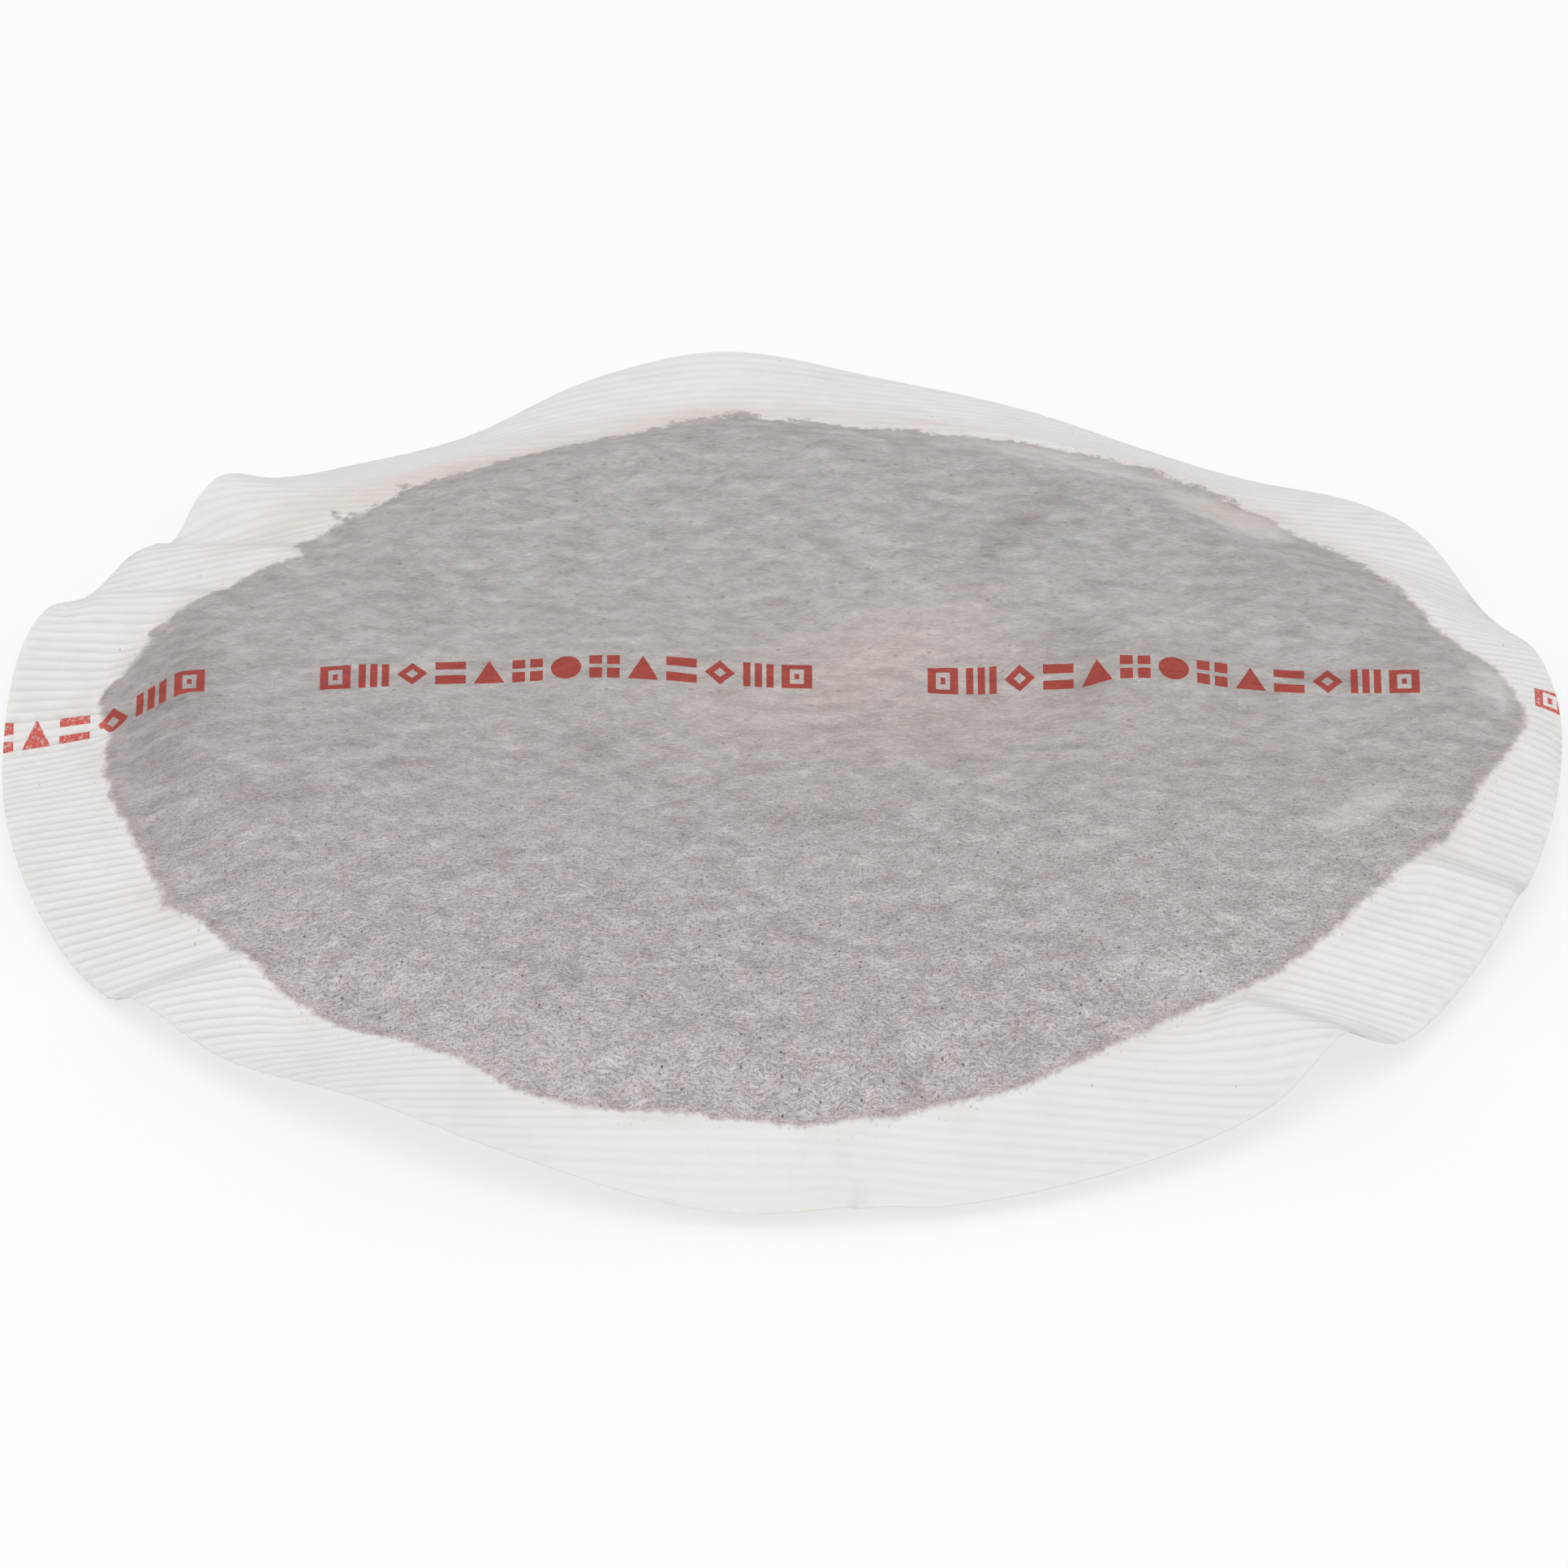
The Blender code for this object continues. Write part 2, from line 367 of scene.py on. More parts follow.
# Changes from front to back: the Y where each starts and ends, and how much it changes
RAGGED_BACK = (15.0, 45.0, 1.2)
PALE_BACK = (-8.0, 22.0, 0.05)
DARK_FRONT = (-22.0, -37.0, 0.04)
FUZZY_FRONT = (18.0, -42.0, 1.1)
# Painted shade on the paper towards the front
FRONT_PAINTED_SHADE = (-36.0, -50.0, 0.5)

# The least fuzz, the change of the coffee's tint along Y plus a share of X, and how fast the
# fibres' pattern grows longer across the ribs, towards the front
LEAST_FUZZ = 0.1
GREENER_BACK = (-40.0, 10.0, 1.0)
GREENER_RIGHT = 0.5
FRONT_DRAW = 0.0045

# Crimp: how narrow its grooves are, how unevenly they are pressed, in streaks of what width and
# with what stretch along the ribs, how far inside the coffee's edge they end, and the share of
# their depth that is left at the cut edge
GROOVE_SHARPNESS = 1.6
GROOVE_UNEVENNESS = 0.5
STREAK_WIDTH = 1.6
STREAK_STRETCH = 14.0
STREAK_SEED = 21.5
GROOVE_END = 0.5
GROOVE_AT_RIM = 0.4

# Small lumps of the coffee, in layers: height, size and the seed of the noise. They grow from
# nothing over LUMPS_FADE inside the seal.
LUMPS = (
    (0.16, 7.0, 1.5),
    (0.10, 3.4, 4.5),
    (0.05, 1.7, 7.5),
)
LUMPS_FADE = 6.0

# Slight waviness of the flange: height, size across the ribs, stretch along them
WAVE_HEIGHT = 0.14
WAVE_SIZE = 9.0
WAVE_STRETCH = 2.0
WAVE_SEED = 11.5

# Share of FOOT_INSET over which folds and lumps fade out of the underside
UNDERSIDE_FADE = 0.3

# Fine mesh of the flange: how far inside the seal the ribs' rows reach, columns across them,
# rows in one rib, how far they stay off the rim, points of the rim
ROWS_REACH = 3.2
COLUMN_STEP = 1.2
ROWS_IN_RIB = 6
ROWS_OFF_RIM = 0.25
RIM_POINTS = 2400

# Fine mesh of the pillow and the print: net of the pillow, its gap to the ribs' rows as a share
# of its step, longest side on a printed outline, how near two points count as one
NET_STEP = 0.8
NET_GAP_SHARE = 0.4
PRINT_STEP = 0.45
SAME_POINT = 1e-5

# The kind of triangulation that mathutils gives the number 0: all of the points' convex hull
WHOLE_HULL = 0

# Angle in degrees between faces that reads as a sharp edge
SHARP_ANGLE = 60


def ease(share):
    share = np.clip(share, 0.0, 1.0)
    return share * share * (3.0 - 2.0 * share)


def gradual(value, start, end, amount):
    """Smooth change from 0 to an amount, as the value goes from start to end."""
    return amount * ease((value - start) / (end - start))


def closed_curve(stops, angle):
    """Smooth closed curve through the stops' values, read at angles in degrees."""
    table = np.array(stops, dtype=float)
    stop, value = table[:, 0], table[:, 1]
    gap = (np.roll(stop, -1) - np.roll(stop, 1)) % 360.0
    slope = (np.roll(value, -1) - np.roll(value, 1)) / gap
    turn = (np.asarray(angle, dtype=float) - stop[0]) % 360.0
    start = np.searchsorted(stop - stop[0], turn, side="right") - 1
    end = (start + 1) % len(stop)
    span = (stop[end] - stop[start]) % 360.0
    t = (turn - (stop[start] - stop[0])) / span
    return (
        value[start] * (1 + 2 * t) * (1 - t) ** 2
        + value[end] * t * t * (3 - 2 * t)
        + span * (slope[start] * t * (1 - t) ** 2 - slope[end] * t * t * (1 - t))
    )


def rim_radius(angle):
    return RIM_RADIUS + RIM_SWAY * closed_curve(RIM_REACHES, angle)


def rim_height(angle):
    return RIM_CREST * closed_curve(RIM_HEIGHTS, angle)


def pillow_radius(angle):
    return rim_radius(angle) - SEAL_WIDTH * closed_curve(SEAL_WIDTHS, angle)


def seal_height(angle):
    return SEAL_CREST * closed_curve(SEAL_HEIGHTS, angle)


def angle_of(x, y):
    return np.degrees(np.arctan2(y, x))


def rim_inset(x, y):
    """Distance inside the rim."""
    return rim_radius(angle_of(x, y)) - np.hypot(x, y)


def depth_inside(x, y):
    """Distance inside the flange's inner edge."""
    return pillow_radius(angle_of(x, y)) - np.hypot(x, y)


def rough_field(x, y, size, seed):
    """Smooth noise, about -1 to 1, with lumps of the given size."""
    values = [noise.noise(Vector((a / size, b / size, seed))) for a, b in zip(x, y)]
    return np.array(values)


def fold_angle(x, y):
    """Angle of the rim whose lift reaches this point: part radial, part straight along a rib."""
    radial = angle_of(x, y)
    half_chord = np.sqrt(np.maximum(RIM_RADIUS**2 - y * y, 0.0))
    along_rib = angle_of(np.copysign(half_chord, x), y)
    turn = (along_rib - radial + 180.0) % 360.0 - 180.0
    return radial + FOLD_ALONG_RIBS * ease(np.abs(x) / (FOLD_TURN_SHARE * RIM_RADIUS)) * turn


def coffee_depth(x, y):
    """Distance inside the edge of the coffee that shows, before it is made ragged."""
    depth = depth_inside(x, y) - closed_curve(COFFEE_STARTS, angle_of(x, y))
    for centre_x, centre_y, radius, reach in TUFTS:
        depth += reach * np.exp(-(((x - centre_x) ** 2 + (y - centre_y) ** 2) / radius**2))
    return depth


def groove_share(x, y):
    """Depth of the crimp's grooves as a share of RIB_HEIGHT, and 0 between them."""
    groove = (0.5 + 0.5 * np.cos(2 * math.pi * y / RIB_PITCH)) ** GROOVE_SHARPNESS
    streaks = rough_field(x / STREAK_STRETCH, y, STREAK_WIDTH, STREAK_SEED)
    shown = closed_curve(RIB_SHARES, angle_of(x, y)) * (1 + GROOVE_UNEVENNESS * streaks)
    at_coffee = ease((GROOVE_END - coffee_depth(x, y)) / RIB_FADE)
    at_rim = GROOVE_AT_RIM + (1 - GROOVE_AT_RIM) * ease(rim_inset(x, y) / RIM_TAPER)
    return groove * shown * (at_coffee * at_rim)


def dips(x, y):
    """Sum of the broad dips' depths."""
    total = np.zeros_like(x)
    for centre_x, centre_y, long, wide, depth in DIPS:
        total += depth * np.exp(-(((x - centre_x) / long) ** 2) - ((y - centre_y) / wide) ** 2)
    return total


def seal_surface(x, y):
    """Middle of the crimped flange, and its height at the edge for points on the pillow."""
    angle = angle_of(x, y)
    inner = pillow_radius(angle)
    outside = np.maximum(np.hypot(x, y) - inner, 0.0)
    share = np.minimum(outside / (rim_radius(angle) - inner), 1.0)
    lift = rim_height(fold_angle(x, y) * (1 - share) + angle * share)
    start = seal_height(angle)
    return start + (lift - start) * share - RIB_HEIGHT * groove_share(x, y) - dips(x, y)


def coffee_bed(x, y):
    """Height of the filled pillow away from its shoulder."""
    radius = RIM_RADIUS - SEAL_WIDTH
    height = np.full_like(x, PILLOW_TOP)
    for centre_x, centre_y, spread, share in MOUNDS:
        away = np.hypot(x / radius - centre_x, y / radius - centre_y) / spread
        height += MOUND_HEIGHT * share * np.exp(-away * away)
    return height


def place_by_line(x, y, x1, y1, x2, y2):
    """Distance along a line from its first end, its length, and the distance to its right."""
    length = math.hypot(x2 - x1, y2 - y1)
    along = ((x - x1) * (x2 - x1) + (y - y1) * (y2 - y1)) / length
    right = ((x - x1) * (y2 - y1) - (y - y1) * (x2 - x1)) / length
    return along, length, right


def creases(x, y):
    """Sum of the folds' and creases' heights, each fading out at its ends."""
    total = np.zeros_like(x)
    for *line, height, width, reach in FLANGE_FOLDS + BED_CREASES:
        along, length, right = place_by_line(x, y, *line)
        ends = ease(along / FOLD_ENDS) * ease((length - along) / FOLD_ENDS)
        sunk = np.exp(-((np.maximum(right, 0.0) / reach) ** 2))
        total += height * ends * ease((right + width) / width) * sunk
    return total


def crumple(x, y, depth):
    """Small lumps of the coffee under the paper, and a slight waviness of the flange."""
    inside = ease(depth / LUMPS_FADE)
    lumps = sum(height * rough_field(x, y, size, seed) for height, size, seed in LUMPS)
    waves = WAVE_HEIGHT * rough_field(x / WAVE_STRETCH, y, WAVE_SIZE, WAVE_SEED)
    return lumps * inside + waves * (1 - inside)


def half_thickness(x, y):
    """Half the two sheets' thickness, pinched where the die cut them."""
    pinched = RIM_THINNED + (1 - RIM_THINNED) * ease(rim_inset(x, y) / RIM_TAPER)
    return SEAL_THICKNESS / 2 * pinched


def top_surface(x, y):
    depth = np.maximum(depth_inside(x, y), 0.0)
    edge = seal_surface(x, y) + half_thickness(x, y)
    rise = SHOULDER_SHARE * ease(depth / SHOULDER_REACH)
    rise += (1 - SHOULDER_SHARE) * ease(depth / CROWN_REACH)
    return edge + (coffee_bed(x, y) - edge) * rise + creases(x, y) + crumple(x, y, depth)


def bottom_surface(x, y):
    depth = np.maximum(depth_inside(x, y), 0.0)
    edge = seal_surface(x, y) - half_thickness(x, y)
    outside = 1 - ease(depth / (UNDERSIDE_FADE * FOOT_INSET))
    shared = (creases(x, y) + crumple(x, y, depth)) * outside
    return np.maximum(edge * (1 - ease(depth / FOOT_INSET)) + shared, 0.0)


# The printed row: its lowest line in plan, and the size, spacing and groups of its marks
PRINT_LINE = 5.95
MARK_HEIGHT = 3.55
MARK_WIDTH = 2.5
MARK_PITCH = 3.14
GROUP_STARTS = (-87.3, -37.7, 11.9, 61.5)


def block(left, low, right, high):
    return ((left, low), (right, low), (right, high), (left, high))


def lozenge(inset):
    return ((0.5, inset), (1 - inset, 0.5), (0.5, 1 - inset), (inset, 0.5))


def oval_outline(points=28):
    turns = [2 * math.pi * i / points for i in range(points)]
    return tuple((0.5 + 0.5 * math.cos(turn), 0.5 + 0.5 * math.sin(turn)) for turn in turns)


# Outlines of each kind of mark in a cell one wide and one high. Where two overlap, it is a hole.
MARKS = {
    "tile": (block(0, 0, 1, 1), block(0.27, 0.19, 0.73, 0.81), block(0.42, 0.38, 0.58, 0.62)),
    "bars": (block(0, 0, 0.24, 1), block(0.38, 0, 0.62, 1), block(0.76, 0, 1, 1)),
    "lozenge": (lozenge(0), lozenge(0.3)),
    "steps": (block(0, 0, 1, 0.36), block(0, 0.64, 1, 1)),
    "peak": (((0, 0), (1, 0), (0.5, 1)),),
    "checks": (
        block(0, 0, 0.42, 0.42),
        block(0.58, 0, 1, 0.42),
        block(0, 0.58, 0.42, 1),
        block(0.58, 0.58, 1, 1),
    ),
    "oval": (oval_outline(),),
}
HALF_GROUP = ("tile", "bars", "lozenge", "steps", "peak", "checks")
GROUP = (*HALF_GROUP, "oval", *reversed(HALF_GROUP))


def finer(outline, step):
    """The outline with points added, so that no side is longer than the step."""
    points = []
    for (x1, y1), (x2, y2) in zip(outline, outline[1:] + outline[:1]):
        count = max(1, math.ceil(math.hypot(x2 - x1, y2 - y1) / step))
        points += [(x1 + (x2 - x1) * i / count, y1 + (y2 - y1) * i / count) for i in range(count)]
    return points


def print_outlines():
    """Outlines of every mark that touches the pack. The rim cuts those that cross it."""
    outlines = []
    for start in GROUP_STARTS:
        for place, kind in enumerate(GROUP):
            left = start + place * MARK_PITCH
            nearest = min(abs(left), abs(left + MARK_WIDTH))
            if nearest > RIM_RADIUS:
                continue
            for cell in MARKS[kind]:
                shape = [(left + MARK_WIDTH * u, PRINT_LINE + MARK_HEIGHT * v) for u, v in cell]
                outlines.append(finer(shape, PRINT_STEP))
    return outlines


def rim_points():
    angle = np.arange(RIM_POINTS) * 360.0 / RIM_POINTS
    radius = rim_radius(angle)
    return radius * np.cos(np.radians(angle)), radius * np.sin(np.radians(angle))


def rib_points():
    """Points in rows along the ribs, from the rim to a little way inside the pillow."""
    row_step = RIB_PITCH / ROWS_IN_RIB
    reach = RIM_RADIUS + RIM_SWAY
    rows = np.arange(-math.ceil(reach / row_step), math.ceil(reach / row_step) + 1) * row_step
    columns = np.arange(-math.ceil(reach / COLUMN_STEP), math.ceil(reach / COLUMN_STEP) + 1)
    x, y = (grid.ravel() for grid in np.meshgrid(columns * COLUMN_STEP, rows))
    keep = (rim_inset(x, y) > ROWS_OFF_RIM) & (depth_inside(x, y) < ROWS_REACH)
    return x[keep], y[keep]


def net_points():
    """Even net of points over the pillow."""
    count = math.ceil(RIM_RADIUS / (NET_STEP * math.sqrt(3) / 2))
    row, column = (grid.ravel() for grid in np.mgrid[-count:count + 1, -count:count + 1])
    x = (column + 0.5 * (row % 2)) * NET_STEP
    y = row * NET_STEP * math.sqrt(3) / 2
    keep = depth_inside(x, y) > ROWS_REACH + NET_GAP_SHARE * NET_STEP
    return x[keep], y[keep]


def flat_net():
    """Triangles of the whole disc in plan, and for each whether ink lies on it."""
    points = []

    def add(xs, ys):
        start = len(points)
        points.extend(Vector(pair) for pair in zip(xs, ys))
        return list(range(start, len(points)))

    outlines = [add(*rim_points())]
    outlines += [add(*zip(*shape)) for shape in print_outlines()]
    add(*rib_points())
    add(*net_points())
    net = geometry.delaunay_2d_cdt(points, [], outlines, WHOLE_HULL, SAME_POINT)
    corners, _, faces, _, _, sources = net
    # A triangle's sources are the outlines around it. The first one is the disc, and those of
    # the marks are odd in number where ink lies.
    disc = [(face, len(source) % 2 == 0) for face, source in zip(faces, sources) if 0 in source]
    return corners, [face for face, _ in disc], [inked for _, inked in disc]


def doubled_disc():
    """The flat disc twice, joined at the rim, and for each point whether it is on top."""
    corners, faces, inked = flat_net()
    work = bmesh.new()
    ink_layer = work.faces.layers.float.new("ink")
    used = sorted({i for face in faces for i in face})
    placed = {i: work.verts.new((corners[i].x, corners[i].y, 0.0)) for i in used}
    for face, ink in zip(faces, inked):
        work.faces.new([placed[i] for i in face])[ink_layer] = float(ink)
    upper = set(bmesh.ops.extrude_face_region(work, geom=work.faces[:])["geom"])
    for face in work.faces:
        if face not in upper:
            face[ink_layer] = 0.0
    bmesh.ops.recalc_face_normals(work, faces=work.faces[:])
    return work, np.array([corner in upper for corner in work.verts])


def pack_mesh():
    """Both sheets and the cut edge, as one closed mesh in metres, over the frame's footprint."""
    work, is_top = doubled_disc()
    x = np.array([corner.co.x for corner in work.verts])
    y = np.array([corner.co.y for corner in work.verts])
    z = np.where(is_top, top_surface(x, y), bottom_surface(x, y))
    low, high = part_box("filter_pack")
    shift_x = (low[0] + high[0]) / 2 - MM * (x.min() + x.max()) / 2
    shift_y = (low[1] + high[1]) / 2 - MM * (y.min() + y.max()) / 2
    for i, corner in enumerate(work.verts):
        corner.co = (x[i] * MM + shift_x, y[i] * MM + shift_y, z[i] * MM)
    mesh = bpy.data.meshes.new("paper_pack")
    work.to_mesh(mesh)
    work.free()
    for name, painter in PAINTED.items():
        mesh.attributes.new(name, "FLOAT", "POINT").data.foreach_set("value", painter(x, y))
    mesh.shade_smooth()
    mesh.set_sharp_from_angle(angle=math.radians(SHARP_ANGLE))
    return mesh


def squared_reach(x, y, centre_x, centre_y, long, wide, degrees):
    """0 in the middle of an oval, 1 on its outline, and growing outward."""
    turn = math.radians(degrees)
    along = (x - centre_x) * math.cos(turn) + (y - centre_y) * math.sin(turn)
    across = (y - centre_y) * math.cos(turn) - (x - centre_x) * math.sin(turn)
    return (along / long) ** 2 + (across / wide) ** 2


def soft_oval(x, y, *oval):
    """1 in the middle of an oval, fading outward."""
    return np.exp(-squared_reach(x, y, *oval))


def thin(x, y):
    """Share of the coffee that is missing, with a fairly sharp edge to each spot."""
    return sum(
        gradual(squared_reach(x, y, *oval), *THIN_SPOT_EDGE, missing)
        for *oval, missing in THIN_SPOTS
    )


def dust_and_shade(x, y):
    """How strongly coffee dust colours the paper, with painted shade in the valley at the back.
    """
    return sum(amount * soft_oval(x, y, *oval) for *oval, amount in DUST_AND_SHADE_SPOTS)


def painted_paper_shade(x, y):
    """Painted shade on the paper: on the steep sides of the folds, and along the front."""
    total = gradual(y, *FRONT_PAINTED_SHADE)
    for *line, _, width, _ in FLANGE_FOLDS:
        along, length, right = place_by_line(x, y, *line)
        rise = np.clip((right + width) / width, 0.0, 1.0)
        ends = ease(along / SHADE_ENDS) * ease((length - along) / SHADE_ENDS)
        total += 4 * rise * (1 - rise) * ends
    return total


def raggedness(x, y):
    """How far the coffee's edge wanders in small."""
    return 1 + gradual(y, *RAGGED_BACK)


def tone_and_shade(x, y):
    """How much paler the coffee looks, in soft patches and from front to back; the darker patches
    are painted shade.
    """
    patches = sum(amount * soft_oval(x, y, *oval) for *oval, amount, _ in TONE_AND_SHADE_PATCHES)
    return patches + gradual(y, *PALE_BACK) - gradual(y, *DARK_FRONT)


def warmer(x, y):
    return sum(amount * soft_oval(x, y, *oval) for *oval, _, amount in TONE_AND_SHADE_PATCHES)


def greener(x, y):
    return gradual(y + GREENER_RIGHT * x, *GREENER_BACK)


def fuzz(x, y):
    """How clearly single fibres show."""
    return LEAST_FUZZ + gradual(y, *FUZZY_FRONT)


def drawn_y(x, y):
    """Y as the fibres' pattern reads it."""
    return y + FRONT_DRAW * np.minimum(y, 0.0) ** 2


# Values at the mesh's points that the paper's material reads
PAINTED = {
    "coffee_depth": coffee_depth,
    "groove": groove_share,
    "thin": thin,
    "dust_and_shade": dust_and_shade,
    "painted_paper_shade": painted_paper_shade,
    "raggedness": raggedness,
    "tone_and_shade": tone_and_shade,
    "warmer": warmer,
    "greener": greener,
    "fuzz": fuzz,
    "drawn_y": drawn_y,
}

# Where in the noise each pattern of the paper is taken, so that no two patterns line up
PATTERN_SHIFTS = {
    "ragged": (31.0, 9.0, 0.0),
    "gaps": (5.0, 17.0, 0.0),
    "stains": (19.0, 2.0, 0.0),
    "tint": (2.0, 41.0, 0.0),
    "grains": (13.0, 3.0, 0.0),
    "flecks": (3.0, 7.0, 0.0),
    "dirt": (1.0, 23.0, 0.0),
}

# Share of a speck's radius that is full, inside its soft edge
SPECK_CORE = 0.6


class Nodes:
    """Short way to lay out one material's nodes. Plan coordinates are in millimetres."""

    def __init__(self, name):
        self.material = bpy.data.materials.new(name)
        self.material.use_nodes = True
        self.tree = self.material.node_tree
        self.shader = self.tree.nodes["Principled BSDF"]
        metres = self.tree.nodes.new("ShaderNodeSeparateXYZ")
        self.put(metres.inputs[0], self.tree.nodes.new("ShaderNodeTexCoord").outputs["Object"])
        plan = self.tree.nodes.new("ShaderNodeCombineXYZ")
        self.put(plan.inputs["X"], self.math("MULTIPLY", metres.outputs["X"], 1 / MM))
        self.put(plan.inputs["Y"], self.attribute("drawn_y"))
        self.place = plan.outputs[0]

    def put(self, socket, value):
        if isinstance(value, bpy.types.NodeSocket):
            self.tree.links.new(value, socket)
        elif value is not None:
            socket.default_value = value

    def math(self, operation, first, second=None, third=None):
        node = self.tree.nodes.new("ShaderNodeMath")
        node.operation = operation
        for socket, value in zip(node.inputs, (first, second, third)):
            self.put(socket, value)
        return node.outputs[0]

    def times(self, first, second):
        return self.math("MULTIPLY", first, second)

    def plus(self, first, second):
        return self.math("ADD", first, second)

    def less(self, first, second):
        return self.math("SUBTRACT", first, second)

    def curled(self, size, amount):
        """The plan with its points pushed about, by up to half the amount, in lumps of a size."""
        push = self.tree.nodes.new("ShaderNodeTexNoise")
        push.noise_dimensions = "2D"
        self.put(push.inputs["Vector"], self.place)
        push.inputs["Scale"].default_value = 1 / size
        push.inputs["Detail"].default_value = 0.0
        pushed = self.tree.nodes.new("ShaderNodeVectorMath")
        pushed.operation = "MULTIPLY_ADD"
        self.put(pushed.inputs[0], push.outputs["Color"])
        self.put(pushed.inputs[1], (amount, amount, 0.0))
        self.put(pushed.inputs[2], self.place)
        return pushed.outputs[0]

    def moved(self, degrees=0.0, stretch=(1.0, 1.0, 1.0), shift=(0.0, 0.0, 0.0), place=None):
        """The plan stretched, then turned about +Z and shifted, to read streaks from noise."""
        node = self.tree.nodes.new("ShaderNodeMapping")
        self.put(node.inputs["Vector"], place or self.place)
        node.inputs["Rotation"].default_value = (0, 0, math.radians(degrees))
        node.inputs["Scale"].default_value = stretch
        node.inputs["Location"].default_value = shift
        return node.outputs[0]

    def unlike(self, pattern):
        """The plan shifted to a pattern's own place in the noise."""
        return self.moved(shift=PATTERN_SHIFTS[pattern])

    def noise(self, size, detail=0.0, roughness=0.5, place=None):
        """Noise between 0 and 1, with lumps of the given size."""
        node = self.tree.nodes.new("ShaderNodeTexNoise")
        node.noise_dimensions = "2D"
        self.put(node.inputs["Vector"], place or self.place)
        node.inputs["Scale"].default_value = 1 / size
        node.inputs["Detail"].default_value = detail
        node.inputs["Roughness"].default_value = roughness
        return node.outputs["Fac"]

    def swing(self, value, amount):
        """Noise about a middle of 0, times an amount."""
        return self.math("MULTIPLY_ADD", value, amount, -amount / 2)

    def specks(self, size, radius, share, place=None):
        """1 inside round specks, which the given share of the cells of the given size hold."""
        node = self.tree.nodes.new("ShaderNodeTexVoronoi")
        node.voronoi_dimensions = "2D"
        self.put(node.inputs["Vector"], place or self.place)
        node.inputs["Scale"].default_value = 1 / size
        chance = self.tree.nodes.new("ShaderNodeSeparateColor")
        self.put(chance.inputs[0], node.outputs["Color"])
        shown = self.math("LESS_THAN", chance.outputs[0], share)
        disc = self.step(node.outputs["Distance"], radius / size, SPECK_CORE * radius / size)
        return self.times(shown, disc)

    def step(self, value, first, last, start=0.0, end=1.0):
        """Smooth change from start to end as the value goes from first to last, up or down."""
        if first > last:
            first, last, start, end = last, first, end, start
        node = self.tree.nodes.new("ShaderNodeMapRange")
        node.interpolation_type = "SMOOTHSTEP"
        self.put(node.inputs["Value"], value)
        numbers = {"From Min": first, "From Max": last, "To Min": start, "To Max": end}
        for name, number in numbers.items():
            self.put(node.inputs[name], number)
        return node.outputs[0]

    def mix(self, share, first, second):
        node = self.tree.nodes.new("ShaderNodeMix")
        node.data_type = "RGBA"
        colours = {socket.identifier: socket for socket in (*node.inputs, *node.outputs)}
        self.put(node.inputs["Factor"], share)
        self.put(colours["A_Color"], first)
        self.put(colours["B_Color"], second)
        return colours["Result_Color"]

    def attribute(self, name):
        """One of the values in PAINTED, or the ink."""
        node = self.tree.nodes.new("ShaderNodeAttribute")
        node.attribute_name = name
        return node.outputs["Fac"]

    def bump(self, height, distance, strength=1.0):
        node = self.tree.nodes.new("ShaderNodeBump")
        node.inputs["Strength"].default_value = strength
        node.inputs["Distance"].default_value = distance * MM
        self.put(node.inputs["Height"], height)
        return node.outputs[0]


# Screen colours of the bare paper; the groove and fold colours are painted shade, and the stain
# colour also paints shade at the back
PAPER = (233, 231, 229)
PAPER_BLOTCH = (229, 227, 224)
PAPER_GROOVE_SHADE = (203, 202, 199)
PAPER_PAINTED_SHADE = (208, 207, 204)
PAPER_STAIN_AND_SHADE = (216, 203, 196)
PAPER_DIRT = (120, 100, 86)

# Screen colours of the coffee through the paper
DARK_AT_FRONT = (142, 136, 135)
DARK_AT_BACK = (141, 136, 133)
DARK_TINTED = (147, 134, 128)
PALE_AT_FRONT = (216, 210, 210)
PALE_AT_BACK = (215, 211, 208)
COFFEE_WARM = (200, 172, 166)
COFFEE_EDGE = (184, 165, 159)
COFFEE_GRAIN = (86, 78, 73)
COFFEE_FLECK = (140, 108, 92)

# Screen colours of the ink
INK_ON_PAPER = (200, 78, 69)
INK_ON_COFFEE = (170, 66, 57)

# How strongly each thing shows in the bare paper's colour, the grooves' and the folds' painted
# shade among them
GROOVE_SHADE = 0.4
PAINTED_SHADE_STRENGTH = 0.5
EDGE_STAIN = 0.3
DIRT_SHADE = 0.5

# Tone of the coffee between its dark and its pale colour, and how strongly each thing shows
COFFEE_TONE = 0.52
CLOUD_SWING = 0.6
WEB_SWING = 0.5
GAP_SWING = 0.3
PIT_SHADE = 0.7
EDGE_SHADE = 0.35
GRAIN_SHADE = 0.6
FLECK_SHADE = 0.3

# Ink: how well it covers, the least and the most that is missing of it on bare paper, and the
# share of that which the coffee under the paper makes good
INK_COVER = 0.96
INK_MISSING = (0.02, 0.4)
INK_MENDED = 0.9

# Fibres of the paper: how far each layer's noise is turned, in degrees, and how far it is shifted
# from the layer before, the fibres' length along the ribs and their thickness, how far they curl
# and how wide their curls are, and how near the noise is to its middle on a fibre
FIBRE_TURNS = (2, 40, 75, 112, 150)
FIBRE_SHIFT = (7.3, 3.1)
FIBRE_LENGTH = 1.7
FIBRE_THICKNESS = 0.11
FIBRE_CURL = 1.0
FIBRE_CURL_SIZE = 1.8
FIBRE_EDGE = 0.08

# Clouds in the coffee's tone: how far each layer's noise is turned, in degrees, and its place in
# the noise, then the clouds' length along the ribs and their width
CLOUDS = (
    (55.0, (0.0, 0.0, 0.0)),
    (-35.0, (9.0, 4.0, 0.0)),
)
CLOUD_LENGTH = 4.0
CLOUD_WIDTH = 2.5

